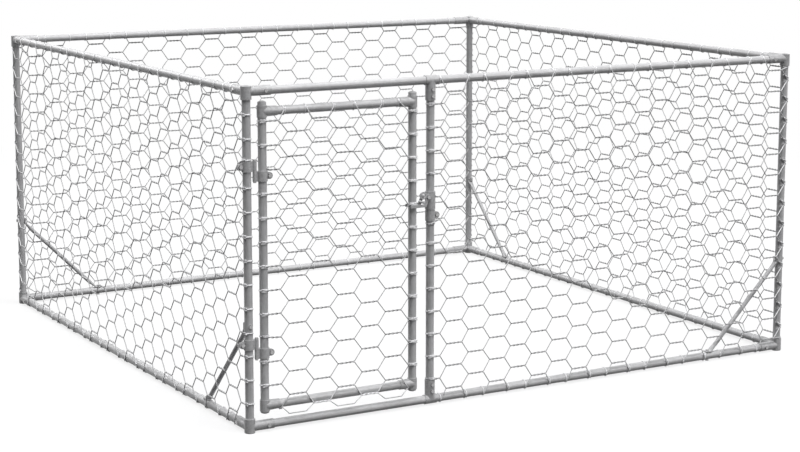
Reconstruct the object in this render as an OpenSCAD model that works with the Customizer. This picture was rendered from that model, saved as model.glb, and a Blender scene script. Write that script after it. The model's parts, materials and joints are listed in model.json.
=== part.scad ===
// Outdoor dog run: a square pen of round galvanised tube with hexagonal wire netting on every wall,
// a tube-framed door on strap hinges beside the front left post, and a fork latch on the latch post.
// All sizes in millimetres. The origin is the middle of the plan, on the ground.

/* [Run] */
// Distance between the corner post axes, left to right
run_w = 1975; // [1500:5:3000]
// Distance between the corner post axes, front to back
run_d = 1975; // [1500:5:3000]
// Distance between the lower and the upper rail axes
rail_rise = 975; // [900:5:1500]

/* [Tube] */
// Outside diameter of the frame and door tube
tube_d = 25; // [24:0.1:26]
// Wall of the frame and door tube
tube_wall = 1.2; // [1:0.1:2]

/* [Corner fittings] */
// Wall of the cuffs that hold the tubes
cuff_wall = 2; // [1.6:0.1:2.4]
// Reach of a rail cuff from the post axis
cuff_reach = 75; // [65:1:90]
// Reach of a post cuff from the rail axis
post_cuff = 24; // [20:1:27]
// Distance from the corner point at which a tube end seats
tube_seat = 15; // [14.5:0.1:17]
// Place of a set bolt along a rail cuff, from the post axis
set_bolt_at = 55; // [45:1:58]
// How far the hub of a fitting stands past its cuffs
hub_step = 1.4; // [1:0.1:3]

/* [Feet and caps] */
// Height of a foot under its corner fitting
foot_h = 3.2; // [2:0.1:10]
// Bevel at the lower edge of a foot
foot_bevel = 1.2; // [0.5:0.1:1.8]
// Diameter of the domed cap on an upper corner
cap_d = 26; // [18:0.5:30]
// Height of the domed caps
cap_h = 3; // [2:0.1:8]
// Diameter of the plug that holds a foot or a cap in its corner fitting
plug_d = 20; // [14:0.5:22]
// Length of the plugs under caps and feet
plug_h = 5; // [3:0.5:8]

/* [Latch post] */
// Length of the tee cuff along the rail
tee_run = 40; // [34:1:60]
// Height of the tee socket over the rail axis
tee_rise = 60; // [52:1:61]
// Wall of the tee socket
tee_wall = 2.9; // [2.4:0.1:3.4]
// Distance from the rail axis at which the latch post seats
tee_seat = 17; // [16:0.5:20]
// Height of the lower tee bolt over the rail axis
tee_bolt_at = 27; // [25:0.5:29]
// Distance between the two bolts of a tee
tee_bolt_pitch = 20; // [15:0.5:22]

/* [Fasteners] */
// Diameter of the bolts
bolt_d = 6; // [5:0.1:6.4]
// Width of bolt heads and nuts across the flats
bolt_flats = 10; // [9:0.1:11]
// Height of the bolt heads
bolt_head_h = 4; // [3:0.1:4.5]
// Height of the nuts
nut_h = 4.6; // [4:0.1:4.8]

/* [Braces] */
// Distance from the corner point to where a brace axis crosses the rail and post axes
brace_leg = 300; // [240:1:400]
// Diameter of the brace tube
brace_d = 14; // [12:0.1:15]
// Thickness of the flattened brace ends
tab_t = 3; // [2.4:0.1:4]
// Width of the flattened brace ends
tab_w = 20; // [18:0.5:22]
// Length of the flattened brace ends
tab_l = 21; // [19:0.5:24]
// Distance from a brace tab to where the tube is round again
flat_l = 26; // [22:0.5:34]
// Length over which the flattened end runs into the round tube
flat_blend = 5; // [4:0.5:8]

/* [Door] */
// Distance from the hinge post axis to the hinge stile axis
stile_gap = 49; // [48:0.5:54]
// Distance between the door stile axes
door_w = 494; // [420:1:640]
// Distance from the latch stile axis to the latch post axis
latch_gap = 62; // [60:0.5:66]
// Height of the lower stile ends over the lower rail axis
door_low = 36; // [30:1:60]
// Distance from the upper stile ends to the upper rail axis
door_high = 33; // [28:1:60]
// Height of the lower door rail axis over the lower stile ends
door_rail_low = 21; // [18:0.5:34]
// Distance from the upper door rail axis to the upper stile ends
door_rail_high = 27; // [18:0.5:34]
// Length of a door tee sleeve on its stile
sleeve_l = 34; // [31:0.5:36]
// Reach of a door tee arm from the stile axis
arm_reach = 46; // [36:1:60]
// Wall of a door tee arm where it leaves the sleeve
arm_wall = 3.4; // [2.8:0.1:4]
// Height of the domed stile caps
stile_cap_h = 4; // [2:0.1:6]

/* [Hinges] */
// Height of the upper hinge's parting line over the lower rail axis
hinge_high = 745; // [740:1:747]
// Height of the lower hinge's parting line over the lower rail axis
hinge_low = 228; // [225:1:231]
// Height of a strap
strap_h = 30; // [24:0.5:32]
// Thickness of the straps and bands
strap_t = 2.5; // [2:0.1:3]
// Gap between the two ears of a strap
ear_gap = 3; // [2:0.1:4]
// Height of the ears
ear_h = 20; // [16:0.5:22]
// Place of the ear bolt from the tube axis
ear_bolt_at = 21; // [20:0.5:24]
// Diameter of the hinge knuckles
knuckle_d = 12.4; // [11:0.1:14]
// Diameter of the hinge pins
pin_d = 6; // [5:0.1:7]
// Diameter of the pin heads
pin_head_d = 10; // [8.5:0.1:12]
// Height of the pin heads
pin_head_h = 3; // [2:0.1:4]

/* [Latch] */
// Height of the prongs over the lower rail axis
prong_z = 601; // [600:0.5:602]
// Depth of a prong
prong_h = 9; // [7:0.1:10]
// Thickness of the fork plates
plate_t = 3; // [2.5:0.1:4]
// How far the prongs reach past the latch stile
prong_past = 2.5; // [1:0.1:6]
// Distance from the latch post axis to the fork pivot
pivot_out = 17; // [16.8:0.1:18]
// Height of the fork pivot over the prongs
pivot_up = 25.5; // [24:0.5:27]
// Diameter of the fork plates round the pivot
hub_d = 18; // [15:0.5:19]
// Diameter of the pivot boss on the latch body
boss_d = 14; // [12:0.5:15]
// Outside diameter of the latch body
latch_body_d = 31.6; // [30.4:0.2:32]
// Height of the latch body
latch_body_h = 54; // [50:1:58]
// Height of the latch body over the fork plates at the pivot
body_over = 5; // [3:0.5:8]
// Distance from the pivot to the middle of the finger ring
ring_out = 17; // [16.5:0.5:19]
// Height of the middle of the finger ring over the pivot
ring_up = 5.5; // [3:0.5:8]
// Outside diameter of the finger ring
ring_d = 23; // [21:0.5:26]
// Diameter of the finger hole
finger_d = 14; // [12:0.5:16]
// Distance from the pivot to the web that ties the plates together
web_out = 10; // [9:0.5:11]
// Depth of that web under the pivot
web_down = 17.5; // [16:0.5:18]
// Diameter of that web
web_d = 8; // [6:0.5:8.5]
// Height of the collar under the latch body
collar_h = 32; // [28:1:34]
// Gap between the collar and the latch body
collar_gap = 3; // [1:0.5:5]

/* [Netting] */
// Height of a gap, from twist to twist
mesh_h = 70; // [66:0.5:90]
// Distance between neighbouring columns of twists
mesh_w = 79; // [76:0.5:100]
// Length of a twist
twist_l = 56; // [50:0.5:60]
// Width of a twist
twist_w = 3; // [2.4:0.1:4]
// Width of a single strand
strand_w = 1.8; // [1.4:0.1:2.4]
// Thickness of the netting
net_t = 1.6; // [1.2:0.1:1.8]
// Diameter of the wire that is wound round the tubes
wrap_d = 2; // [1.9:0.1:2.2]
// Height of the lowest twists over the lower rail axis
low_twist = 34; // [32:0.5:36]
// The same height on the front wall
front_low_twist = 29; // [28:0.5:29.5]
// The same height over the lower door rail
door_low_twist = 26; // [24:0.5:28]
// Distance from the last column of twists to the front right post axis
front_net_end = 27; // [10:1:28]
// Distance from the hinge stile axis to the first column of twists
door_net_start = 20; // [6:1:24]
// Distance from the latch stile axis back from the last column of twists
door_net_end = -6; // [-14:1:14]
// Low columns from one tie on a rail to the next
tie_every = 2; // [1:1:4]

/* [Clearances] */
// Gap round a tube in its socket, cuff or band
slip = 0.1; // [0.05:0.01:0.2]
// Radial clearance of a pin or bolt in its bore
run_fit = 0.05; // [0.02:0.01:0.1]
// Gap between faces that turn past each other
face_gap = 0.5; // [0.3:0.1:0.8]
// Gap between the netting and the tubes
wrap_gap = 0.3; // [0.2:0.05:0.4]
// Gap between the fork plates and what stands between them
fork_gap = 0.4; // [0.3:0.1:0.6]
// Least distance kept between the netting and a fitting
net_clear = 3; // [2:0.1:5]
// Distance from a rail axis to the edge of the sheet
tie_at = 4; // [2:0.5:6]

/* [Hidden] */
$fn = 48;

tube_r = tube_d / 2;
socket_r = tube_r + slip;
cuff_r = socket_r + cuff_wall;
hub_r = cuff_r + hub_step;
hub_drop = cuff_r + 0.2;
rail_z = foot_h + hub_drop;
tee_r = socket_r + tee_wall;
band_r = socket_r + strap_t;
bolt_r = bolt_d / 2;
bolt_bore_r = bolt_r + run_fit;
pin_r = pin_d / 2;
pin_bore_r = pin_r + run_fit;
plug_r = plug_d / 2;
stile_plug_r = tube_r - tube_wall - slip;
hinge_x = stile_gap / 2;
latch_stile_x = stile_gap + door_w;
latch_post_x = latch_stile_x + latch_gap;
door_rail_z0 = door_low + door_rail_low;
door_rail_z1 = rail_rise - door_high - door_rail_high;
door_seat = cuff_r + 2;
pivot_z = prong_z + pivot_up;
plate_in = latch_body_d / 2 + fork_gap;
plate_out = plate_in + plate_t;
latch_body_z = pivot_z + hub_d / 2 + body_over - latch_body_h;
collar_z = latch_body_z - collar_h - collar_gap;
wrap_r = tube_r + wrap_gap + wrap_d / 2;
wrap_out = wrap_r + wrap_d / 2;
tab_in = tube_r + slip;
tab_z = brace_leg - tab_in - tab_t / 2;
brace_bolt_at = tab_z + tab_l * 0.58;
ring_x = -pivot_out - ring_out;
ring_z = pivot_z + ring_up;

tube_grey = "#a9abad";
fitting_grey = "#9c9ea1";
wire_grey = "#b9bbbd";
bolt_grey = "#c9cbcc";

// Walls are numbered front 0, right 1, back 2, left 3. Seen from outside, x runs along a wall from
// its left post axis, -y points out of the run and z = 0 is the lower rail axis.
function wall_len(k) = k % 2 == 0 ? run_w : run_d;
function wall_off(k) = k % 2 == 0 ? run_d : run_w;

module on_wall(k) {
    translate([0, 0, rail_z])
        rotate([0, 0, 90 * k])
            translate([-wall_len(k) / 2, -wall_off(k) / 2, 0])
                children();
}

// The corner at the right-hand end of a wall
module on_corner(k) {
    on_wall(k)
        translate([wall_len(k), 0, 0])
            children();
}

// The same corner at the upper rail, turned over so that the fitting faces down
module on_top_corner(k) {
    on_corner(k)
        translate([0, 0, rail_rise])
            mirror([0, 0, 1])
                children();
}

module along_x() {
    rotate([0, 90, 0]) children();
}

module to_front() {
    rotate([90, 0, 0]) children();
}

module tube(length) {
    difference() {
        cylinder(r = tube_r, h = length);
        translate([0, 0, -1]) cylinder(r = tube_r - tube_wall, h = length + 2);
    }
}

// A hexagon bolt whose head stands on z = 0, with its shank below
module hex_bolt(shank) {
    cylinder(d = bolt_flats / cos(30), h = bolt_head_h, $fn = 6);
    translate([0, 0, -shank]) cylinder(r = bolt_r, h = shank + 1);
}

// A hexagon nut that hangs below z = 0
module hex_nut() {
    translate([0, 0, -nut_h])
        difference() {
            cylinder(d = bolt_flats / cos(30), h = nut_h, $fn = 6);
            translate([0, 0, -1]) cylinder(r = bolt_bore_r, h = nut_h + 2);
        }
}

// A bolt through a grip of this length, with its nut: the head stands on z = 0
module bolt_and_nut(grip) {
    hex_bolt(grip + nut_h - 0.4);
    translate([0, 0, -grip]) hex_nut();
}

// A low dome on a round base
module dome(base_d, height) {
    ball_r = (pow(base_d / 2, 2) + pow(height, 2)) / (2 * height);
    rotate_extrude()
        intersection() {
            translate([0, height - ball_r]) circle(r = ball_r, $fn = 96);
            square([base_d, height]);
        }
}

// A domed cap with the plug that holds it, which reaches a little way into the dome
module plugged_dome(base_d, height, radius) {
    dome(base_d, height);
    translate([0, 0, -plug_h]) cylinder(r = radius, h = plug_h + height / 8);
}

// Posts and rails

module corner_post(k) {
    color(tube_grey)
        on_corner(k)
            difference() {
                translate([0, 0, tube_seat + slip]) tube(rail_rise - 2 * (tube_seat + slip));
                translate([0, 0, brace_bolt_at])
                    along_x()
                        cylinder(r = bolt_bore_r, h = 2 * tube_d, center = true);
            }
}

module latch_post() {
    color(tube_grey)
        on_wall(0)
            translate([latch_post_x, 0, tee_seat + slip])
                tube(rail_rise - 2 * (tee_seat + slip));
}

module rail(k) {
    translate([tube_seat + slip, 0, 0])
        along_x()
            tube(wall_len(k) - 2 * (tube_seat + slip));
}

module top_rail(k) {
    color(tube_grey)
        on_wall(k)
            translate([0, 0, rail_rise])
                rail(k);
}

module bottom_rail(k) {
    color(tube_grey)
        on_wall(k)
            difference() {
                rail(k);
                translate([wall_len(k) - brace_bolt_at, 0, 0])
                    cylinder(r = bolt_bore_r, h = 2 * tube_d, center = true);
            }
}

// Corner fittings, tees, feet and caps

module corner_fitting() {
    color(fitting_grey)
        difference() {
            union() {
                along_x() mirror([0, 0, 1]) cylinder(r = cuff_r, h = cuff_reach);
                rotate([-90, 0, 0]) cylinder(r = cuff_r, h = cuff_reach);
                translate([0, 0, -hub_drop]) cylinder(r = hub_r, h = hub_drop + post_cuff);
            }
            along_x() mirror([0, 0, 1]) translate([0, 0, tube_seat]) cylinder(r = socket_r, h = cuff_reach);
            rotate([-90, 0, 0]) translate([0, 0, tube_seat]) cylinder(r = socket_r, h = cuff_reach);
            translate([0, 0, tube_seat]) cylinder(r = socket_r, h = cuff_reach);
            translate([0, 0, -hub_drop - 1]) cylinder(r = plug_r + slip, h = plug_h + slip + 1);
            translate([-set_bolt_at, 0, 0]) to_front() cylinder(r = bolt_bore_r, h = cuff_r + 1);
            translate([0, set_bolt_at, 0]) along_x() cylinder(r = bolt_bore_r, h = cuff_r + 1);
        }
}

// The two bolts that lock the rails in one corner fitting
module set_bolts() {
    bolt_l = cuff_wall + slip / 2;
    translate([-set_bolt_at, -cuff_r, 0]) to_front() hex_bolt(bolt_l);
    translate([cuff_r, set_bolt_at, 0]) along_x() hex_bolt(bolt_l);
}

module corner_bolts() {
    color(bolt_grey)
        for (k = [0 : 3]) {
            on_corner(k) set_bolts();
            on_top_corner(k) set_bolts();
        }
}

// A tee whose cuff lies along a rail and whose socket takes a post
module tee_fitting() {
    color(fitting_grey)
        difference() {
            union() {
                along_x() cylinder(r = cuff_r, h = tee_run, center = true);
                cylinder(r = tee_r, h = tee_rise);
            }
            along_x() cylinder(r = socket_r, h = tee_run + 2, center = true);
            translate([0, 0, tee_seat]) cylinder(r = socket_r, h = tee_rise);
            for (i = [0, 1])
                translate([0, 0, tee_bolt_at + i * tee_bolt_pitch])
                    to_front()
                        cylinder(r = bolt_bore_r, h = tee_r + 1);
        }
}

module tee_set_bolts() {
    for (i = [0, 1])
        translate([0, -tee_r, tee_bolt_at + i * tee_bolt_pitch])
            to_front()
                hex_bolt(tee_wall + slip / 2);
}

module at_tees(upper) {
    on_wall(0)
        translate([latch_post_x, 0, upper ? rail_rise : 0])
            mirror([0, 0, upper ? 1 : 0])
                children();
}

module bottom_tee() {
    at_tees(false) tee_fitting();
}

module top_tee() {
    at_tees(true) tee_fitting();
}

module tee_bolts() {
    color(bolt_grey) {
        at_tees(false) tee_set_bolts();
        at_tees(true) tee_set_bolts();
    }
}

module feet() {
    color(fitting_grey)
        for (k = [0 : 3])
            on_corner(k)
                translate([0, 0, -rail_z])
                    rotate_extrude()
                        polygon([
                            [0, 0], [hub_r - foot_bevel, 0], [hub_r, foot_bevel], [hub_r, foot_h],
                            [plug_r, foot_h], [plug_r, foot_h + plug_h], [0, foot_h + plug_h]
                        ]);
}

module post_caps() {
    color(fitting_grey)
        for (k = [0 : 3])
            on_corner(k)
                translate([0, 0, rail_rise + hub_drop])
                    plugged_dome(cap_d, cap_h, plug_r);
}

// Corner braces

// One flattened end, which lies against the post: x points from the post axis along the wall
module brace_tab() {
    difference() {
        translate([tab_in, -tab_w / 2, tab_z]) cube([tab_t, tab_w, tab_l]);
        translate([0, 0, brace_bolt_at]) along_x() cylinder(r = bolt_bore_r, h = 2 * tube_d);
    }
}

module brace_end() {
    run = (flat_l + flat_blend) / sqrt(2);
    brace_tab();
    hull() {
        translate([tab_in + 0.2, -tab_w / 2 + 0.4, tab_z + 1]) cube([tab_t - 0.4, tab_w - 0.8, 3]);
        translate([tab_in + tab_t / 2 + run, 0, tab_z - run])
            rotate([0, 135, 0])
                cylinder(d = brace_d - 1.2, h = 0.1, $fn = 24);
    }
}

module brace(k) {
    run = flat_l / sqrt(2);
    start_x = tab_in + tab_t / 2 + run;
    tube_l = (brace_leg - 2 * start_x) * sqrt(2);
    color(tube_grey)
        on_corner(k)
            mirror([1, 0, 0]) {
                brace_end();
                mirror([1, 0, -1]) brace_end();
                translate([start_x, 0, brace_leg - start_x])
                    rotate([0, 135, 0])
                        cylinder(d = brace_d, h = tube_l);
            }
}

module brace_bolts() {
    grip = tab_t + slip + tube_d + slip;
    color(bolt_grey)
        for (k = [0 : 3]) {
            on_corner(k)
                translate([-tab_in - tab_t, 0, brace_bolt_at])
                    rotate([0, -90, 0])
                        bolt_and_nut(grip);
            on_corner(k)
                translate([-brace_bolt_at, 0, tab_in + tab_t])
                    bolt_and_nut(grip);
        }
}

// Netting

function inside_any(v, bands) = len([for (b = bands) if (v > b[0] && v < b[1]) b]) > 0;

// Columns of twists are numbered from the left. Low columns hold the lowest twists, and the columns
// between them stand half a gap higher.
function twist_base(c, low_parity, low) = low + (c % 2 == low_parity ? 0 : mesh_h / 2);

// Number of columns that comes nearest to the gap width, odd or even as the two ends of the sheet need it.
// An odd number keeps the wraps of two walls at different heights on the post they share.
function columns(span, odd) = odd + 2 * max(1, round((span / mesh_w - odd) / 2));

// Distance of a strand's end from the middle of its column, where it crosses the edge of the sheet
function strand_end(column_w, rise) = twist_l / 2 + (column_w - twist_l) * rise / (mesh_h / 2);

// The open part of one gap, inside its two twists and four single strands
module mesh_gap(column_w) {
    slant = column_w - twist_l;
    half_h = mesh_h / 2;
    strand_l = norm([slant, half_h]);
    corner_x = twist_l / 2 + (twist_w / 2 * slant - strand_w / 2 * strand_l) / half_h;
    side_x = twist_l / 2 + slant - strand_w / 2 * strand_l / half_h;
    corner_y = half_h - twist_w / 2;
    polygon([
        [corner_x, corner_y], [side_x, 0], [corner_x, -corner_y],
        [-corner_x, -corner_y], [-side_x, 0], [-corner_x, corner_y]
    ]);
}

// A sheet of netting between two upright tubes and two rails, in front of them. Its strands are wound
// round the uprights and the rails. Bands leave out the stretches that a strap, tab or tee covers, corners
// give the length that the fittings cover at each end, and ties the strands that are wound on the rails.
module netting(
    width, height, start, end, odd, low_parity, low, left_bands, right_bands, rail_bands, corners, ties
) {
    count = columns(width - start - end, odd);
    column_w = (width - start - end) / count;
    rows = ceil(height / mesh_h) + 1;
    edge_low = tie_at;
    edge_high = height - tie_at;
    sheet_y = -(wrap_r - net_t / 2);
    low_top = low + floor((edge_high - low) / mesh_h) * mesh_h;
    high_top = low + mesh_h / 2 + floor((edge_high - low - mesh_h / 2) / mesh_h) * mesh_h;
    top_parity = low_top > high_top ? low_parity : 1 - low_parity;
    top_twist = max(low_top, high_top);
    over = wrap_d;
    past = 2 * over;
    corner_h = 2 * net_clear + tie_at;
    cut_l = corners[0];
    cut_r = width - corners[1];
    tie_l = cut_l + corner_h - edge_low + strand_w;
    tie_r = cut_r - corner_h + edge_low - strand_w;
    net_corners = [
        [[-past, 0], [cut_l + corner_h, 0], [cut_l, corner_h], [-past, corner_h]],
        [[cut_r - corner_h, 0], [width + past, 0], [width + past, corner_h], [cut_r, corner_h]],
        [[-past, height - corner_h], [cut_l, height - corner_h], [cut_l + corner_h, height], [-past, height]],
        [
            [cut_r, height - corner_h], [width + past, height - corner_h],
            [width + past, height], [cut_r - corner_h, height]
        ]
    ];
    color(wire_grey) {
        translate([0, sheet_y, 0])
            to_front()
                linear_extrude(net_t)
                    difference() {
                        translate([-over, edge_low]) square([width + 2 * over, edge_high - edge_low]);
                        for (c = [-1 : count + 1], r = [-1 : rows])
                            translate([start + c * column_w, twist_base(c + 2, low_parity, low)])
                                translate([0, (r - 0.5) * mesh_h])
                                    mesh_gap(column_w);
                        for (b = left_bands)
                            translate([-past, b[0]]) square([band_r + net_clear + past, b[1] - b[0]]);
                        for (b = right_bands)
                            translate([width - band_r - net_clear, b[0]])
                                square([band_r + net_clear + past, b[1] - b[0]]);
                        for (outline = net_corners) polygon(outline);
                    }
        for (r = [0 : rows]) {
            left_z = twist_base(0, low_parity, low) + r * mesh_h;
            right_z = twist_base(count, low_parity, low) + r * mesh_h;
            if (left_z < height - low / 2 && !inside_any(left_z, left_bands))
                translate([0, 0, left_z]) wire_wrap();
            if (right_z < height - low / 2 && !inside_any(right_z, right_bands))
                translate([width, 0, right_z]) wire_wrap();
        }
        for (c = [0 : count], side = ties) {
            tied = floor(c / 2) % tie_every == 0;
            low_x = start + c * column_w + side * strand_end(column_w, low - edge_low);
            top_x = start + c * column_w + side * strand_end(column_w, edge_high - top_twist);
            if (tied && c % 2 == low_parity && low_x > tie_l && low_x < tie_r && !inside_any(low_x, rail_bands))
                translate([low_x, 0, 0]) along_x() wire_wrap();
            if (tied && c % 2 == top_parity && top_x > tie_l && top_x < tie_r)
                translate([top_x, 0, height]) along_x() wire_wrap();
        }
    }
}

// One turn of netting wire round a tube that stands along z
module wire_wrap() {
    difference() {
        cylinder(r = wrap_out, h = wrap_d, center = true);
        cylinder(r = wrap_out - wrap_d, h = 2 * wrap_d, center = true);
    }
}

// Heights that the straps, the latch and the brace tabs take up, with room for the wire
function band(low, high) = [low - net_clear, high + net_clear];
tab_band = band(tab_z, tab_z + tab_l);
hinge_bands = [for (z = [hinge_low, hinge_high]) band(z, z + strap_h)];
door_strap_bands = [for (z = [hinge_low, hinge_high]) band(z - strap_h - door_rail_z0, z - door_rail_z0)];
latch_bands = [band(collar_z, latch_body_z + latch_body_h)];
wall_corner = cuff_reach + net_clear;

module full_net(k, right_bands) {
    on_wall(k)
        netting(
            wall_len(k), rail_rise, 0, 0, 1, 0, low_twist, [], right_bands,
            [[wall_len(k) - tab_band[1], wall_len(k) - tab_band[0]]], [wall_corner, wall_corner], [1]
        );
}

module front_net() {
    width = run_w - latch_post_x;
    on_wall(0)
        translate([latch_post_x, 0, 0])
            netting(
                width, rail_rise, 0, front_net_end, 1, 1, front_low_twist, latch_bands, [tab_band],
                [[width - tab_band[1], width - tab_band[0]]], [tee_run / 2 + net_clear, wall_corner], [1]
            );
}

module right_net() {
    full_net(1, [tab_band]);
}

module back_net() {
    full_net(2, [tab_band]);
}

module left_net() {
    full_net(3, concat([tab_band], hinge_bands));
}

module door_net() {
    on_wall(0)
        translate([stile_gap, 0, door_rail_z0])
            netting(
                door_w, door_rail_z1 - door_rail_z0, door_net_start, door_net_end, 0, 1, door_low_twist,
                door_strap_bands, [], [], [arm_reach + net_clear, arm_reach + net_clear], [-1, 1]
            );
}

// Straps and bands

// A split band round a tube, from z = 0 up, whose two ears point along x and take a bolt
module clamp_band(height, ear_z) {
    ear_y = ear_gap / 2 + strap_t;
    difference() {
        union() {
            cylinder(r = band_r, h = height);
            translate([0, -ear_y, ear_z - ear_h / 2]) cube([ear_bolt_at, 2 * ear_y, ear_h]);
            translate([ear_bolt_at, ear_y, ear_z]) to_front() cylinder(d = ear_h, h = 2 * ear_y);
        }
        translate([0, 0, -1]) cylinder(r = socket_r, h = height + 2);
        translate([0, -ear_gap / 2, -1]) cube([ear_bolt_at + ear_h, ear_gap, height + 2]);
        translate([ear_bolt_at, 0, ear_z])
            to_front()
                cylinder(r = bolt_bore_r, h = 4 * ear_y, center = true);
    }
}

// The bolt and nut across the ears of a band
module ear_bolt(ear_z) {
    ear_y = ear_gap / 2 + strap_t;
    translate([ear_bolt_at, -ear_y, ear_z])
        to_front()
            bolt_and_nut(2 * ear_y);
}

// A hinge strap: a band with its ears along x, and a knuckle on the other side of the tube
module hinge_strap() {
    knuckle_h = strap_h - face_gap / 2;
    color(fitting_grey)
        difference() {
            union() {
                clamp_band(knuckle_h, knuckle_h / 2);
                difference() {
                    union() {
                        translate([-hinge_x, -strap_t, 0]) cube([hinge_x, 2 * strap_t, knuckle_h]);
                        translate([-hinge_x, 0, 0]) cylinder(d = knuckle_d, h = knuckle_h);
                    }
                    translate([0, 0, -1]) cylinder(r = socket_r, h = knuckle_h + 2);
                }
            }
            translate([-hinge_x, 0, -1]) cylinder(r = pin_bore_r, h = knuckle_h + 2);
        }
}

// The post strap stands above the parting line, the door strap hangs below it
module on_hinge_post(z) {
    on_wall(0)
        translate([0, 0, z + face_gap / 2])
            mirror([1, 0, 0])
                children();
}

module on_hinge_stile(z) {
    on_wall(0)
        translate([stile_gap, 0, z - strap_h])
            children();
}

module upper_post_strap() {
    on_hinge_post(hinge_high) hinge_strap();
}

module lower_post_strap() {
    on_hinge_post(hinge_low) hinge_strap();
}

module upper_door_strap() {
    on_hinge_stile(hinge_high) hinge_strap();
}

module lower_door_strap() {
    on_hinge_stile(hinge_low) hinge_strap();
}

module post_strap_bolts() {
    color(bolt_grey)
        for (z = [hinge_low, hinge_high])
            on_hinge_post(z) ear_bolt((strap_h - face_gap / 2) / 2);
}

module door_strap_bolts() {
    color(bolt_grey)
        for (z = [hinge_low, hinge_high])
            on_hinge_stile(z) ear_bolt((strap_h - face_gap / 2) / 2);
}

// A pin through both knuckles of one hinge, with a head above and a spread end below
module hinge_pin(z) {
    color(bolt_grey)
        on_wall(0)
            translate([hinge_x, 0, z]) {
                translate([0, 0, -strap_h - face_gap]) cylinder(r = pin_r, h = 2 * strap_h + 2 * face_gap);
                translate([0, 0, strap_h + face_gap / 2]) cylinder(d = pin_head_d, h = pin_head_h);
                translate([0, 0, -strap_h - face_gap - pin_head_h])
                    cylinder(d = pin_head_d - 1, h = pin_head_h);
            }
}

module upper_hinge_pin() {
    hinge_pin(hinge_high);
}

module lower_hinge_pin() {
    hinge_pin(hinge_low);
}

// Latch

module on_latch_post(z) {
    on_wall(0)
        translate([latch_post_x, 0, z])
            children();
}

module latch_collar() {
    color(fitting_grey) on_latch_post(collar_z) clamp_band(collar_h, collar_h / 2);
}

module latch_collar_bolt() {
    color(bolt_grey) on_latch_post(collar_z) ear_bolt(collar_h / 2);
}

// A sleeve on the latch post, with a boss beside the post for the fork's pivot bolt
module latch_body() {
    color(fitting_grey)
        on_latch_post(0)
            difference() {
                union() {
                    translate([0, 0, latch_body_z]) cylinder(d = latch_body_d, h = latch_body_h);
                    translate([-pivot_out, plate_in - fork_gap, pivot_z])
                        to_front()
                            cylinder(d = boss_d, h = 2 * (plate_in - fork_gap));
                }
                translate([0, 0, latch_body_z - 1]) cylinder(r = socket_r, h = latch_body_h + 2);
                translate([-pivot_out, 0, pivot_z])
                    to_front()
                        cylinder(r = bolt_bore_r, h = 4 * plate_in, center = true);
            }
}

module latch_pivot_bolt() {
    color(bolt_grey)
        on_latch_post(pivot_z)
            translate([-pivot_out, -plate_out - face_gap, 0])
                to_front()
                    bolt_and_nut(2 * (plate_out + face_gap));
}

// A flat bar with round ends, from one point to another
module round_bar(from, to, depth) {
    way = to - from;
    translate(from)
        rotate(atan2(way[1], way[0])) {
            translate([0, -depth / 2]) square([norm(way), depth]);
            circle(d = depth);
            translate([norm(way), 0]) circle(d = depth);
        }
}

// One plate of the fork, drawn over the wall: its prong lies beside the latch stile
module fork_plate(with_ring) {
    pivot = [-pivot_out, pivot_z];
    heel = [-pivot_out - web_out, prong_z];
    tip = [-latch_gap - tube_r - prong_past + prong_h / 2, prong_z];
    difference() {
        union() {
            round_bar(tip, heel, prong_h);
            round_bar(heel, pivot, web_d + 2);
            translate(pivot) circle(d = hub_d);
            if (with_ring)
                translate([ring_x, ring_z]) circle(d = ring_d);
        }
        translate(pivot) circle(r = bolt_bore_r);
        if (with_ring)
            translate([ring_x, ring_z]) circle(d = finger_d);
    }
}

// Two plates that hold the latch stile between their prongs, tied together by one round web
module latch_fork() {
    color(fitting_grey)
        on_latch_post(0) {
            translate([0, -plate_in, 0]) to_front() linear_extrude(plate_t) fork_plate(true);
            translate([0, plate_out, 0]) to_front() linear_extrude(plate_t) fork_plate(false);
            translate([-pivot_out - web_out, plate_in + plate_t / 2, pivot_z - web_down])
                to_front()
                    cylinder(d = web_d, h = 2 * plate_in + plate_t);
        }
}

// Door

module stile(x) {
    color(tube_grey)
        on_wall(0)
            translate([x, 0, door_low])
                tube(rail_rise - door_low - door_high);
}

module door_hinge_stile() {
    stile(stile_gap);
}

module door_latch_stile() {
    stile(latch_stile_x);
}

module door_rail(z) {
    color(tube_grey)
        on_wall(0)
            translate([stile_gap + door_seat + slip, 0, z])
                along_x()
                    tube(door_w - 2 * (door_seat + slip));
}

module door_top_rail() {
    door_rail(door_rail_z1);
}

module door_bottom_rail() {
    door_rail(door_rail_z0);
}

// A sleeve on a stile with a tapered arm along x for the end of a door rail
module door_tee() {
    color(fitting_grey)
        difference() {
            union() {
                cylinder(r = cuff_r, h = sleeve_l, center = true);
                along_x() cylinder(r1 = socket_r + arm_wall, r2 = cuff_r - 0.4, h = arm_reach);
            }
            cylinder(r = socket_r, h = 2 * sleeve_l, center = true);
            along_x() translate([0, 0, door_seat]) cylinder(r = socket_r, h = arm_reach);
        }
}

module door_hinge_tee(z) {
    on_wall(0)
        translate([stile_gap, 0, z])
            door_tee();
}

module door_latch_tee(z) {
    on_wall(0)
        translate([latch_stile_x, 0, z])
            mirror([1, 0, 0])
                door_tee();
}

module door_hinge_bottom_tee() {
    door_hinge_tee(door_rail_z0);
}

module door_hinge_top_tee() {
    door_hinge_tee(door_rail_z1);
}

module door_latch_bottom_tee() {
    door_latch_tee(door_rail_z0);
}

module door_latch_top_tee() {
    door_latch_tee(door_rail_z1);
}

// Domed plugs on the four stile ends
module door_caps() {
    color(fitting_grey)
        on_wall(0)
            for (x = [stile_gap, latch_stile_x]) {
                translate([x, 0, rail_rise - door_high]) plugged_dome(tube_d, stile_cap_h, stile_plug_r);
                translate([x, 0, door_low]) mirror([0, 0, 1]) plugged_dome(tube_d, stile_cap_h, stile_plug_r);
            }
}

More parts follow.
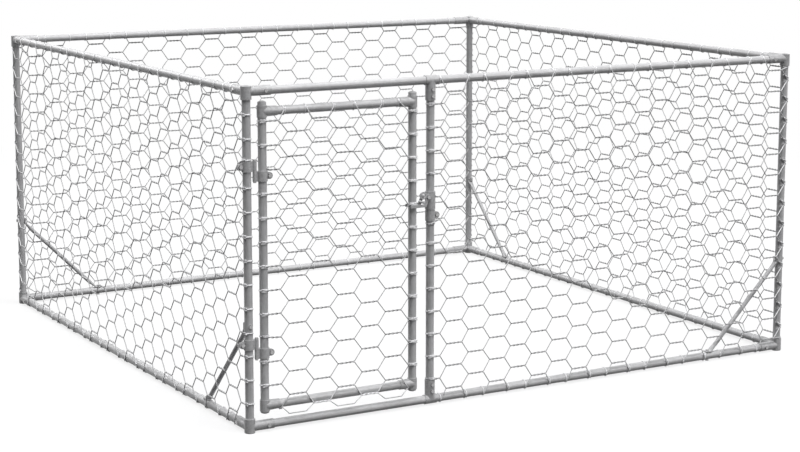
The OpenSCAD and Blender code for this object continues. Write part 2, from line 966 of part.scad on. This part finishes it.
corner_post(0);  // front_right_post
corner_post(1);  // back_right_post
corner_post(2);  // back_left_post
corner_post(3);  // front_left_post
latch_post();
top_rail(0);  // front_top_rail
top_rail(1);  // right_top_rail
top_rail(2);  // back_top_rail
top_rail(3);  // left_top_rail
bottom_rail(0);  // front_bottom_rail
bottom_rail(1);  // right_bottom_rail
bottom_rail(2);  // back_bottom_rail
bottom_rail(3);  // left_bottom_rail
on_corner(0) corner_fitting();  // front_right_bottom_corner
on_corner(1) corner_fitting();  // back_right_bottom_corner
on_corner(2) corner_fitting();  // back_left_bottom_corner
on_corner(3) corner_fitting();  // front_left_bottom_corner
on_top_corner(0) corner_fitting();  // front_right_top_corner
on_top_corner(1) corner_fitting();  // back_right_top_corner
on_top_corner(2) corner_fitting();  // back_left_top_corner
on_top_corner(3) corner_fitting();  // front_left_top_corner
bottom_tee();
top_tee();
feet();
post_caps();
brace(0);  // front_brace
brace(1);  // right_brace
brace(2);  // back_brace
brace(3);  // left_brace
corner_bolts();
tee_bolts();
brace_bolts();
front_net();
right_net();
back_net();
left_net();
upper_post_strap();
lower_post_strap();
upper_hinge_pin();
lower_hinge_pin();
post_strap_bolts();
latch_collar();
latch_collar_bolt();
latch_body();
latch_pivot_bolt();
latch_fork();
door_hinge_stile();
door_latch_stile();
door_top_rail();
door_bottom_rail();
door_hinge_bottom_tee();
door_hinge_top_tee();
door_latch_bottom_tee();
door_latch_top_tee();
door_caps();
upper_door_strap();
lower_door_strap();
door_strap_bolts();
door_net();
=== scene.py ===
# %% [markdown]
# # A square dog run of galvanised tube and wire netting
# The run is an open-topped pen: four walls of round tube, netting tied to the outside of the tubes, a
# door that hangs on the front left post, and a fork that holds the door shut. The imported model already
# has every tube, cuff, bolt and strap at its true place, so this lesson keeps them and gives them a
# finish. Only the netting is made anew, because real netting is round wire, twisted and tied, and not a
# flat sheet with holes.

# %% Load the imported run
import json
import math

import bpy
import numpy as np
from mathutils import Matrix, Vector


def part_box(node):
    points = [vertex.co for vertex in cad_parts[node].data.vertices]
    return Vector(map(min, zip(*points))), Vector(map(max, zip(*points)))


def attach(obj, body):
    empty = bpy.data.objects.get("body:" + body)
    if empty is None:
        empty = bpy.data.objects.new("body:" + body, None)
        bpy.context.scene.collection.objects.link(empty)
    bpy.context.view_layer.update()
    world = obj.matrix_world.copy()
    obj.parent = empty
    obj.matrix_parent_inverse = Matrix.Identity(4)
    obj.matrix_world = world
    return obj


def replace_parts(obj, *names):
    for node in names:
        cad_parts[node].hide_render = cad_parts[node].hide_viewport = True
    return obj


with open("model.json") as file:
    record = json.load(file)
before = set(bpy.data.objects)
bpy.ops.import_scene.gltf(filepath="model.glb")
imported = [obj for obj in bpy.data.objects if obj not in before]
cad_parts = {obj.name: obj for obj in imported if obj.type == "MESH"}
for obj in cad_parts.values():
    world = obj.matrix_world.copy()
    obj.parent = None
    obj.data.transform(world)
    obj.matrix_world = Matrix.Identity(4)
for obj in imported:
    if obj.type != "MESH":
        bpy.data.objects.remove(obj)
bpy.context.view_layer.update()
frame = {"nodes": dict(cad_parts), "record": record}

# %% [markdown]
# ## Shader sums in plain Python
# A finish is a small network of nodes. Wiring each one by hand hides the idea behind the bookkeeping, so
# a socket is wrapped in a class whose operators add the Math nodes: `0.4 + 0.2 * cloud` reads as the sum
# that it is. The reflected operators let a number stand on the left. Every other node comes from one
# method, which takes the node's type, its settings, and the values or links of its sockets.

# %% A socket that does sums, and a finish that holds its nodes
class Flow:
    def __init__(self, finish, socket):
        self.finish, self.socket = finish, socket

    def math(self, operation, first, second):
        return self.finish.add("ShaderNodeMath", {"operation": operation}, {0: first, 1: second})

    def __add__(self, other):
        return self.math("ADD", self, other)

    def __radd__(self, other):
        return self.math("ADD", other, self)

    def __sub__(self, other):
        return self.math("SUBTRACT", self, other)

    def __rsub__(self, other):
        return self.math("SUBTRACT", other, self)

    def __mul__(self, other):
        return self.math("MULTIPLY", self, other)

    def __rmul__(self, other):
        return self.math("MULTIPLY", other, self)


class Finish:
    def __init__(self, name, shelf=None):
        self.block = (bpy.data.materials if shelf is None else shelf).new(name)
        self.block.use_nodes = True
        self.tree = self.block.node_tree
        self.tree.nodes.clear()

    def add(self, kind, settings=None, sockets=None, output=0):
        node = self.tree.nodes.new(kind)
        for key, value in (settings or {}).items():
            setattr(node, key, value)
        for key, value in (sockets or {}).items():
            if isinstance(value, Flow):
                self.tree.links.new(value.socket, node.inputs[key])
            else:
                node.inputs[key].default_value = value
        return Flow(self, node.outputs[output]) if len(node.outputs) else None


print("Shader helpers ready")

# %% [markdown]
# ## Zinc
# Everything here is steel that was dipped in zinc. Zinc freezes in crystals a few millimetres to a
# centimetre wide, each of which catches the light a little differently, and it dulls in soft clouds as it
# weathers. A picture of zinc would need mapping onto every tube, so the crystals are Voronoi cells in the
# object's own metres: each cell gets one random tone. Two noises add the clouds and the fine grain. Tube
# was drawn through a die before it was dipped, so it also gets streaks, which are a noise stretched along
# the tube. The same recipe makes tube, fittings, wire and bolts, with other sizes and tones, because the
# real pieces differ in just that way. Where a wire was bent round a post or rail by hand, its colour is
# mixed towards near-white: a painted highlight for the light that catches the windings, so the wire carries
# a value for that along its length. Weathered zinc has a dull grey skin and not the gloss of bare metal, so
# tube, fittings and wire are nearly matt, and only the plated bolts shine as metal does.

# %% One recipe for every zinc surface
def grey(tone, warm=0.0):
    return (tone * (1 + warm), tone, tone * (1.015 - warm), 1)


def zinc(name, dark, pale, crystal_mm, grain_mm, roughness, metallic, relief_mm, drawn=None, highlight_paint=None):
    finish = Finish(name)
    place = finish.add("ShaderNodeTexCoord", output="Object")
    cells = finish.add(
        "ShaderNodeTexVoronoi", {"feature": "F1"},
        {"Vector": place, "Scale": 1000 / crystal_mm, "Randomness": 1}, "Color",
    )
    crystal = finish.add("ShaderNodeSeparateColor", None, {"Color": cells})
    cloud = finish.add(
        "ShaderNodeTexNoise", None, {"Vector": place, "Scale": 5.5, "Detail": 5, "Roughness": 0.62}, "Fac"
    )
    grain = finish.add(
        "ShaderNodeTexNoise", None, {"Vector": place, "Scale": 1000 / grain_mm, "Detail": 3}, "Fac"
    )
    tone = 0.3 * crystal + 0.9 * cloud + 0.4 * grain - 0.3
    relief = 0.35 * crystal + 0.65 * grain
    if drawn:
        stretched = finish.add("ShaderNodeVectorMath", {"operation": "MULTIPLY"}, {0: place, 1: drawn})
        streak = finish.add("ShaderNodeTexNoise", None, {"Vector": stretched, "Scale": 1, "Detail": 2}, "Fac")
        tone = tone + 1.1 * streak - 0.55
        relief = relief + 0.8 * streak
    colour = finish.add("ShaderNodeMix", {"data_type": "RGBA"}, {0: tone, 6: dark, 7: pale}, 2)
    # Painted highlight: where the wire is wound round a tube, its colour is mixed towards near-white.
    if highlight_paint:
        rubbed = finish.add("ShaderNodeAttribute", {"attribute_name": "rubbed"}, output="Fac")
        colour = finish.add("ShaderNodeMix", {"data_type": "RGBA"}, {0: rubbed, 6: colour, 7: highlight_paint}, 2)
    dullness = roughness + 0.22 * cloud - 0.1 * crystal + 0.08 * grain - 0.1
    bump = finish.add(
        "ShaderNodeBump", None,
        {"Strength": 0.5, "Distance": relief_mm / 1000, "Height": relief},
    )
    skin = finish.add(
        "ShaderNodeBsdfPrincipled", None,
        {
            "Base Color": colour, "Roughness": dullness, "Metallic": metallic,
            "Specular IOR Level": 0.15, "Normal": bump,
        },
    )
    finish.add("ShaderNodeOutputMaterial", None, {"Surface": skin})
    return finish.block


ACROSS, ALONG = 1000 / 5, 1000 / 220
tube_finishes = [
    zinc(
        f"zinc_tube_{axis}", grey(0.46), grey(0.70), 9, 1.2, 0.28, 0.02, 0.05,
        drawn=[ALONG if axis == other else ACROSS for other in "xyz"],
    )
    for axis in "xyz"
]
finishes = {
    "zinc_fitting": zinc("zinc_fitting", grey(0.32), grey(0.64), 6, 0.8, 0.34, 0.08, 0.2),
    "netting_wire": zinc(
        # The near-white below is a painted highlight for the windings of the wire.
        "netting_wire", grey(0.40), grey(0.68), 14, 2.0, 0.34, 0.03, 0.05, highlight_paint=grey(0.95)
    ),
    "bolt_zinc": zinc("bolt_zinc", grey(0.25), grey(0.5, 0.01), 3, 0.5, 0.24, 0.9, 0.08),
}
print("Finishes:", sorted(finishes), "and", [tube.name for tube in tube_finishes])

# %% [markdown]
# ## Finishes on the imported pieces
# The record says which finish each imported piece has, so the pieces take theirs by that list. Their shapes
# are right as they are and stay untouched.

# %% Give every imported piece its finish
for entry in frame["record"]["subparts"]:
    piece = frame["nodes"][entry["node"]]
    longest = max(range(3), key=lambda axis: piece.dimensions[axis])
    piece.data.materials.clear()
    piece.data.materials.append(finishes.get(entry["material_slot"], tube_finishes[longest]))

# %% [markdown]
# ## How the netting is made
# Hexagonal netting is a set of long wires that run along the wall. Each wire twists with its upper
# neighbour over one column, slants to the next column, and twists with its lower neighbour there. So the
# netting is drawn wire by wire, as a path of points. In a twist the path is a helix of two turns, and the
# neighbour runs half a turn behind it. At the posts each wire is wound or hooked round the tube, and
# along the rails the cut strands are tied in the same way. A tube of five sides along each path is round
# enough for a wire about three millimetres thick.

# %% Sizes of the run and its netting, in metres
RUN, RISE = 1.975, 0.975
TUBE_R, WIRE_R = 0.0125, 0.0016
RAIL_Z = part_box("front_bottom_rail")[0].z + TUBE_R
SHEET_Y, WRAP_R = -0.0143, TUBE_R + 0.0009
MESH_H, MESH_W, TWIST = 0.070, 0.079, 0.056
LATCH_POST, HINGE_STILE, DOOR_W = 0.605, 0.049, 0.494
DOOR_LOW, DOOR_HIGH = 0.057, 0.915
shake = np.random.default_rng(11)


def to_run(wall, points):
    """Wall points (along, out, up) to the run's own axes. Walls: front 0, right 1, back 2, left 3."""
    turn = math.radians(90 * wall)
    along, out, up = (np.asarray(points, float) + (-RUN / 2, -RUN / 2, RAIL_Z)).T
    return np.stack(
        [along * math.cos(turn) - out * math.sin(turn), along * math.sin(turn) + out * math.cos(turn), up], 1
    )


print("Rail axis height:", round(RAIL_Z, 4))

# %% A wire along a path
class WireBundle:
    """Collects round wires and turns them into one mesh."""

    def __init__(self, sides=5):
        self.sides, self.points, self.rubbed, self.faces, self.total = sides, [], [], [], 0

    def add(self, path, radius):
        """Adds a wire along points (along, out, up, highlight), where highlight is 1 where the wire gets a
        painted highlight.
        """
        path = np.asarray(path, float)
        keep = np.r_[True, np.linalg.norm(np.diff(path[:, :3], axis=0), axis=1) > 1e-5]
        path, rubbed = path[keep, :3], path[keep, 3]
        ahead = np.gradient(path, axis=0)
        ahead /= np.linalg.norm(ahead, axis=1)[:, None]
        side = np.zeros_like(path)
        spare = np.array([0.31, 0.52, 0.79])
        side[0] = spare - ahead[0] * (spare @ ahead[0])
        side[0] /= np.linalg.norm(side[0])
        for i in range(1, len(path)):
            turned = side[i - 1] - ahead[i] * (side[i - 1] @ ahead[i])
            side[i] = turned / np.linalg.norm(turned)
        other = np.cross(ahead, side)
        angle = np.arange(self.sides) * 2 * math.pi / self.sides
        ring = side[:, None] * np.cos(angle)[None, :, None] + other[:, None] * np.sin(angle)[None, :, None]
        self.points.append((path[:, None] + radius * ring).reshape(-1, 3))
        self.rubbed.append(np.repeat(rubbed, self.sides))
        start, count, n = self.total, len(path), self.sides
        first = start + np.arange(count - 1)[:, None] * n + np.arange(n)[None]
        second = start + np.arange(count - 1)[:, None] * n + (np.arange(n)[None] + 1) % n
        self.faces += np.stack([first, second, second + n, first + n], 2).reshape(-1, 4).tolist()
        self.faces.append(list(range(start + n - 1, start - 1, -1)))
        self.faces.append(list(range(start + (count - 1) * n, start + count * n)))
        self.total += count * n

    def build(self, name, wall):
        mesh = bpy.data.meshes.new(name)
        mesh.from_pydata(to_run(wall, np.concatenate(self.points)).tolist(), [], self.faces)
        # Per-point value for the painted highlight on the windings.
        share = mesh.attributes.new("rubbed", "FLOAT", "POINT")
        share.data.foreach_set("value", np.concatenate(self.rubbed).astype(np.float32))
        mesh.shade_smooth()
        mesh.update()
        piece = bpy.data.objects.new(name, mesh)
        bpy.context.scene.collection.objects.link(piece)
        return piece


print("Wire helper ready")

# %% [markdown]
# ## Ends of the wires
# On the door, the latch post and the front left post a wire goes once round the tube and steps aside by
# its own thickness on the way, so that the two wires of a twist lie next to each other. At the other
# corners the two strands part after the last twist, as they do between two columns, and are hooked over
# the post. Straps, cuffs and brace tabs are in the way at some heights, so a wire that would land on one
# is led to the nearest clear spot on the tube. Where that spot is far, as at a hinge or at the latch, the
# pair stays twisted together and is bent back beside the tube.

# %% Find a clear spot, and wind a wire round a tube
ROOM, TAIL, LIFT, STEPS = 0.0035, 0.006, 0.0006, 18


def clear_spot(wanted, taken, low, high):
    """The clear stretch of a tube that is nearest to the wanted place, and the place in it."""
    edges = [low] + [e for band in sorted(taken) for e in band] + [high]
    stretches = [(a + ROOM, b - ROOM) for a, b in zip(edges[::2], edges[1::2]) if b - a > 2 * ROOM]
    best = min(stretches, key=lambda s: max(s[0] - wanted, wanted - s[1], 0))
    return min(max(wanted, best[0]), best[1]), best


def wind(rise, turns):
    """Points of a wire wound round a tube, as (round, out, up): it starts in front of the tube."""
    angle = np.linspace(0.12, 2 * math.pi * turns, int(STEPS * turns))
    loop = np.stack([-WRAP_R * np.sin(angle), -WRAP_R * np.cos(angle), rise * angle / (2 * math.pi)], 1)
    way = loop[-1] - loop[-2]
    outward = np.array([loop[-1][0], loop[-1][1], 0]) / WRAP_R
    end = loop[-1] + way / np.linalg.norm(way) * TAIL + outward * LIFT
    # The fourth column is 1: the whole winding gets the painted highlight.
    return np.column_stack([np.vstack([loop, end]), np.ones(len(loop) + 1)])


print("One turn of wire is", round(2 * math.pi * WRAP_R * 1000), "mm long")

# %% [markdown]
# ## One sheet of netting
# A sheet is described by the distance between its two upright tubes, the distance between its two rails,
# where its columns of twists start and end, and the height of its lowest twists. The columns with the
# lowest twists are called low, and the columns between them stand half a gap higher. A wire that would
# run past a rail is cut into short strands, one for each column that it still reaches, and both ends of a
# strand are tied to the rail. The door's sheet is not tied to its lower rail. It goes on in front of the
# rail, and its last half row of gaps hangs below it in loops.

# %% Sizes of ties and hooks, in metres, and their turns
SLIP, BOW = 0.0006, 0.0004
SPREAD, SPREAD_RISE, SPREAD_TURNS = 0.033, 0.036, 0.35
WOUND_TURNS, HOOKED_TURNS, RAIL_TURNS, RAIL_STEP = 1.07, 0.3, 1.05, 0.004
FAR, LEAD, CUT_LEAD = 0.012, 0.009, 0.0165
STUB = np.array([(0.0152, -0.0085), (0.0150, -0.0030), (0.0149, 0.0030)])
RAIL_ROOM, RAIL_EDGE = 0.006, 0.005
HOOK_R, HOOK_TURN, LOOP_LIFT = 0.0165, np.linspace(0.55, 2.4, 8), 0.013
print("A wire is cut short where its clear spot is over", round(FAR * 1000), "mm away")

# %% Draw one sheet
def netting(
    name, wall, body, width, height, start, end, low_side, low, base, left_taken, right_taken, rail_taken,
    left_tie="wound", right_tie="wound", loops=False,
):
    bundle = WireBundle()
    count = round((width - start - end) / MESH_W)
    pitch = (width - start - end) / count
    place = [start + c * pitch for c in range(count + 1)]
    rows = 2 * int(height / MESH_H) + 6
    wobble = shake.normal(0, SLIP, (rows, count + 1, 2))
    bow = shake.normal(0, BOW, (rows, count + 1))

    def spot(c, level):
        row = int(round((level - low) / (MESH_H / 2))) + 2
        inside = 0 < c < count
        du, dv = wobble[row, c] if inside else (0, 0)
        return place[c] + du, level + dv, SHEET_Y + (bow[row, c] if inside else 0)

    def twist(c, level, upper, first=-1.0, last=1.0):
        """Points of one wire through a twist, from its left end to its right one."""
        u, v, y = spot(c, level)
        t = np.linspace(first, last, max(3, int(16 * (last - first) / 2) + 1))
        angle = (math.pi / 2 if upper else -math.pi / 2) + 2 * math.pi * (t + 1)
        across, up = y + WIRE_R * np.cos(angle), v + WIRE_R * np.sin(angle)
        return np.stack([u + t * TWIST / 2, across, up, np.zeros_like(t)], 1)

    def tied_end(c, level, upper, right):
        """A wire through the last twist and round the upright."""
        at, taken, tie = (width, right_taken, right_tie) if right else (0.0, left_taken, left_tie)
        side = 1 if upper else -1
        wanted = level + (side * SPREAD if tie == "spread" else 0)
        tied, (lowest, highest) = clear_spot(wanted, taken, 0.0, height)
        if tie == "spread":
            points = twist(c, level, upper)
            # Painted highlight only on the upper wire of the pair, the one that the light catches.
            points[-1 if right else 0, 3] = upper
            loop = wind(side * min(SPREAD_RISE, highest - tied if upper else tied - lowest), SPREAD_TURNS)
            loop[:, 3] = upper
        else:
            cut = abs(tied - level) > FAR
            reach = (at - place[c]) / (TWIST / 2)
            lead = (CUT_LEAD if cut else LEAD) / (TWIST / 2)
            first, last = (-1.0, reach - lead) if right else (reach + lead, 1.0)
            points = twist(c, level, upper, first, last)
            if cut:
                beside = STUB * (-1 if right else 1, 1)
                up = np.full(len(STUB), level + side * WIRE_R)
                stub = np.column_stack([at + beside[:, 0], beside[:, 1], up, np.zeros(len(STUB))])
                return np.vstack([points, stub]) if right else np.vstack([stub[::-1], points])
            bend = np.clip((points[:, 0] - at) / (place[c] + (-1 if right else 1) * TWIST / 2 - at), 0, 1)
            points[:, 2] += (tied - level) * (1 - bend) ** 2
            step = 2 * WIRE_R
            climbs = tied - step < lowest or (upper and tied + step <= highest)
            rise = step if climbs else -step
            loop = wind(rise, WOUND_TURNS if tie == "wound" else HOOKED_TURNS)
        if right:
            return np.vstack([points, loop * (-1, 1, 1, 1) + (at, 0, tied, 0)])
        return np.vstack([(loop + (at, 0, tied, 0))[::-1], points])

    def rail_tie(u, top, lean):
        """Turns round a rail, for a strand that comes from inside the sheet."""
        at, _ = clear_spot(u, rail_taken[1 if top else 0], 0.0, width)
        loop = wind(RAIL_STEP * lean, RAIL_TURNS)
        loop = np.stack([loop[:, 2], loop[:, 1], -loop[:, 0] if top else loop[:, 0], loop[:, 3]], 1)
        return loop + (at, 0, height if top else 0.0, 0)

    def past_rail(level, above, lowest):
        """A wire in front of the lower rail. The lowest wire has no neighbour to twist with in its loops."""
        parts = []
        for c in range(1, count):
            part = twist(c, level[c], above[c])
            bare = lowest and above[c]
            if bare:
                part[:, 1], part[:, 2] = SHEET_Y, level[c] + LOOP_LIFT
            # Painted highlight on the loops below the rail and on the hooks at both ends, but not on the bare
            # lowest wire.
            part[:, 3] = level[c] < 0 and not bare
            parts.append(part)
        for c, side in ((0, 1), (count, -1)):
            at = np.full_like(HOOK_TURN, place[c] + side * (TWIST / 2 + (WIRE_R if lowest else -WIRE_R)))
            out, up = -HOOK_R * np.cos(HOOK_TURN), -HOOK_R * np.sin(HOOK_TURN)
            hook = np.stack([at, out, up, np.ones_like(HOOK_TURN)], 1)
            parts = parts + [hook] if c else [hook[::-1]] + parts
        return np.vstack(parts)

    floor, roof = RAIL_ROOM, height - RAIL_ROOM
    wires = strands = 0
    for i in range(-1, int(height / MESH_H) + 2):
        for upper in (True, False):
            heights = (low + MESH_H * i, low + MESH_H * i + (MESH_H / 2 if upper else -MESH_H / 2))
            level = [heights[0] if c % 2 == low_side else heights[1] for c in range(count + 1)]
            above = [upper == (c % 2 == low_side) for c in range(count + 1)]
            held = [floor < h < roof for h in heights]
            if all(held):
                parts = [tied_end(0, level[0], above[0], False)]
                parts += [twist(c, level[c], above[c]) for c in range(1, count)]
                parts.append(tied_end(count, level[count], above[count], True))
                bundle.add(np.vstack(parts), WIRE_R)
                wires += 1
            elif loops and i + upper == 0:
                bundle.add(past_rail(level, above, upper), WIRE_R)
                wires += 1
            elif any(held):
                top = max(heights) >= roof
                edge = height - RAIL_EDGE if top else RAIL_EDGE
                for c in range(count + 1):
                    if (c % 2 == low_side) != held[0]:
                        continue
                    run = TWIST / 2 + (pitch - TWIST) * abs(edge - level[c]) / (MESH_H / 2)
                    parts = [rail_tie(place[c] - run, top, -1)[::-1]] if c > 0 else []
                    if c in (0, count):
                        parts.append(tied_end(c, level[c], above[c], c == count))
                    else:
                        parts.append(twist(c, level[c], above[c]))
                    if c < count:
                        parts.append(rail_tie(place[c] + run, top, 1))
                    bundle.add(np.vstack(parts), WIRE_R)
                    strands += 1
    for points in bundle.points:
        points += base
    piece = bundle.build(name, wall)
    piece.data.materials.append(finishes["netting_wire"])
    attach(piece, body)
    print(name, ":", wires, "long wires,", strands, "cut strands,", len(piece.data.polygons), "faces")
    return piece


# %% [markdown]
# ## The five sheets
# Three walls are whole sheets. The front wall's sheet runs from the latch post to the front right post,
# and the door has a sheet of its own, which swings with it. The lists say which stretches of the posts
# and rails are taken by cuffs, straps, brace tabs and the latch.

# %% Draw the walls and the door
CUFF, RAIL_CUFF, TEE, RAIL_TEE = 0.0245, 0.0765, 0.0605, 0.0215
DOOR_TEE, DOOR_RAIL_TEE = 0.018, 0.047
DOOR_H = DOOR_HIGH - DOOR_LOW
cuffs = [(0.0, CUFF), (RISE - CUFF, RISE)]
tab = (0.2845, 0.3085)
straps = [(0.228, 0.2585), (0.745, 0.7755)]
hinges = [(0.1975 - DOOR_LOW, straps[0][1] - DOOR_LOW), (0.7145 - DOOR_LOW, straps[1][1] - DOOR_LOW)]
latch = [(0.548, 0.690)]
tees = [(0.0, TEE), (RISE - TEE, RISE)]
door_tees = [(0.0, DOOR_TEE), (DOOR_H - DOOR_TEE, DOOR_H)]


def rail_stretches(width, left, right, tabbed):
    ends = [(0.0, left), (width - right, width)]
    return ends[:1] + ([(width - tab[1], width - tab[0])] if tabbed else []) + ends[1:], ends


sheets = []
for wall, side in ((1, "right"), (2, "back"), (3, "left")):
    right_taken = sorted(cuffs + [tab] + (straps if wall == 3 else []))
    piece = netting(
        f"{side}_wire", wall, "frame", RUN, RISE,
        start=0.060, end=0, low_side=1 if wall == 3 else 0, low=0.034, base=(0, 0, 0),
        left_taken=cuffs, right_taken=right_taken,
        rail_taken=rail_stretches(RUN, RAIL_CUFF, RAIL_CUFF, True),
        left_tie="spread", right_tie="wound" if wall == 3 else "hooked",
    )
    sheets.append(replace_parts(piece, f"{side}_net"))
front_w = RUN - LATCH_POST
piece = netting(
    "front_wire", 0, "frame", front_w, RISE,
    start=0, end=0.051, low_side=1, low=0.029, base=(LATCH_POST, 0, 0),
    left_taken=sorted(tees + latch), right_taken=sorted(cuffs + [tab]),
    rail_taken=rail_stretches(front_w, RAIL_TEE, RAIL_CUFF, True),
    right_tie="spread",
)
sheets.append(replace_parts(piece, "front_net"))
piece = netting(
    "door_wire", 0, "door", DOOR_W, DOOR_H,
    start=0.020, end=-0.006, low_side=1, low=0.026, base=(HINGE_STILE, 0, DOOR_LOW),
    left_taken=sorted(door_tees + hinges), right_taken=door_tees,
    rail_taken=rail_stretches(DOOR_W, DOOR_RAIL_TEE, DOOR_RAIL_TEE, False),
    loops=True,
)
sheets.append(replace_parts(piece, "door_net"))
print("Sheets:", [s.name for s in sheets])

# %% [markdown]
# ## Floor, light and camera
# The run stands on a plain white floor that fades into a white background. Seen by the camera, the floor
# is mostly its own white with a soft shadow left in it, and for the light it is a dark floor that sends
# little back, so that the undersides of the rails stay dark. Three large soft boxes light the run from
# far away, so that the lower rails get about as much light as the upper ones: a wide one overhead and
# a little in front whitens the tops of the rails, one at the front right gives the posts a pale side, and one
# behind keeps the far walls from going flat. The camera stands where the photo was taken from, so that
# the walls run away from it at the same slopes.

# %% The floor
def seen_by_eye(finish):
    """1 for rays from the camera, a mirror or glass, and 0 for the light's own bounces."""
    camera_ray = finish.add("ShaderNodeLightPath", output="Is Camera Ray")
    mirror_ray = finish.add("ShaderNodeLightPath", output="Is Glossy Ray")
    glass_ray = finish.add("ShaderNodeLightPath", output="Is Transmission Ray")
    return camera_ray + mirror_ray + glass_ray


FAR_OUT, SHADOW_FROM, SHADOW_TO, SHADOW_GLOW = 40, 2.0, 5.0, 0.80
corners = [(FAR_OUT * x, FAR_OUT * y, 0) for x, y in ((-1, -1), (1, -1), (1, 1), (-1, 1))]
floor_mesh = bpy.data.meshes.new("floor")
floor_mesh.from_pydata(corners, [], [(0, 1, 2, 3)])
floor = bpy.data.objects.new("floor", floor_mesh)
bpy.context.scene.collection.objects.link(floor)
paper = Finish("white_floor")
place = paper.add("ShaderNodeTexCoord", output="Object")
away = paper.add("ShaderNodeVectorMath", {"operation": "LENGTH"}, {0: place}, "Value")
glow_share = paper.add(
    "ShaderNodeMapRange", {"interpolation_type": "SMOOTHSTEP"},
    {0: away, 1: SHADOW_FROM, 2: SHADOW_TO, 3: SHADOW_GLOW, 4: 1.0},
)
bounce = paper.add("ShaderNodeBsdfDiffuse", None, {"Color": grey(0.04)})
matt = paper.add("ShaderNodeBsdfDiffuse", None, {"Color": grey(0.9)})
glow = paper.add("ShaderNodeEmission", None, {"Color": (1, 1, 1, 1), "Strength": 1.0})
sight = paper.add("ShaderNodeMixShader", None, {0: glow_share, 1: matt, 2: glow})
surface = paper.add("ShaderNodeMixShader", None, {0: seen_by_eye(paper), 1: bounce, 2: sight})
paper.add("ShaderNodeOutputMaterial", None, {"Surface": surface})
floor_mesh.materials.append(paper.block)
print("Floor:", floor.name)

# %% The background and the lamps
air = Finish("studio", bpy.data.worlds)
dim = air.add("ShaderNodeBackground", None, {"Color": (1, 1, 1, 1), "Strength": 0.05})
white = air.add("ShaderNodeBackground", None, {"Color": (1, 1, 1, 1), "Strength": 1.0})
sky = air.add("ShaderNodeMixShader", None, {0: seen_by_eye(air), 1: dim, 2: white})
air.add("ShaderNodeOutputWorld", None, {"Surface": sky})
bpy.context.scene.world = air.block


MIDDLE = Vector((0, 0, 0.5))


def lamp(name, place, wide, tall, glow):
    """A soft box whose face shines as bright as `glow` sheets of white paper."""
    light = bpy.data.lights.new(name, "AREA")
    light.shape, light.size, light.size_y = "RECTANGLE", wide, tall
    light.energy = glow * math.pi * wide * tall
    holder = bpy.data.objects.new(name, light)
    holder.location = place
    holder.rotation_euler = (MIDDLE - Vector(place)).to_track_quat("-Z", "Y").to_euler()
    bpy.context.scene.collection.objects.link(holder)
    return holder


lamps = [
    lamp("ceiling_lamp", (0.0, -5.5, 20.0), 20, 16, 5.9),
    lamp("front_lamp", (17.0, -24.0, 15.0), 12, 14, 4.4),
    lamp("back_lamp", (-10.0, 24.0, 15.0), 24, 12, 3.4),
]
print("Lamps:", [l.name for l in lamps])

# %% The camera
PHOTO_W, FOCAL_PX, SENSOR, SHIFT = 800, 1926.8, 36, -0.07
eye, swing, dip = Vector((-3.3029, -5.8790, 1.5937)), math.radians(29.931), math.radians(8.695)
camera_data = bpy.data.cameras.new("camera")
camera_data.lens, camera_data.sensor_width = FOCAL_PX / PHOTO_W * SENSOR, SENSOR
camera_data.shift_y = SHIFT
camera = bpy.data.objects.new("camera", camera_data)
camera.location = eye
camera.rotation_euler = (math.pi / 2 - dip, 0, -swing)
bpy.context.scene.collection.objects.link(camera)
bpy.context.scene.camera = camera
bpy.context.scene.view_settings.view_transform = "Standard"
print("Camera lens:", round(camera_data.lens, 1), "mm")
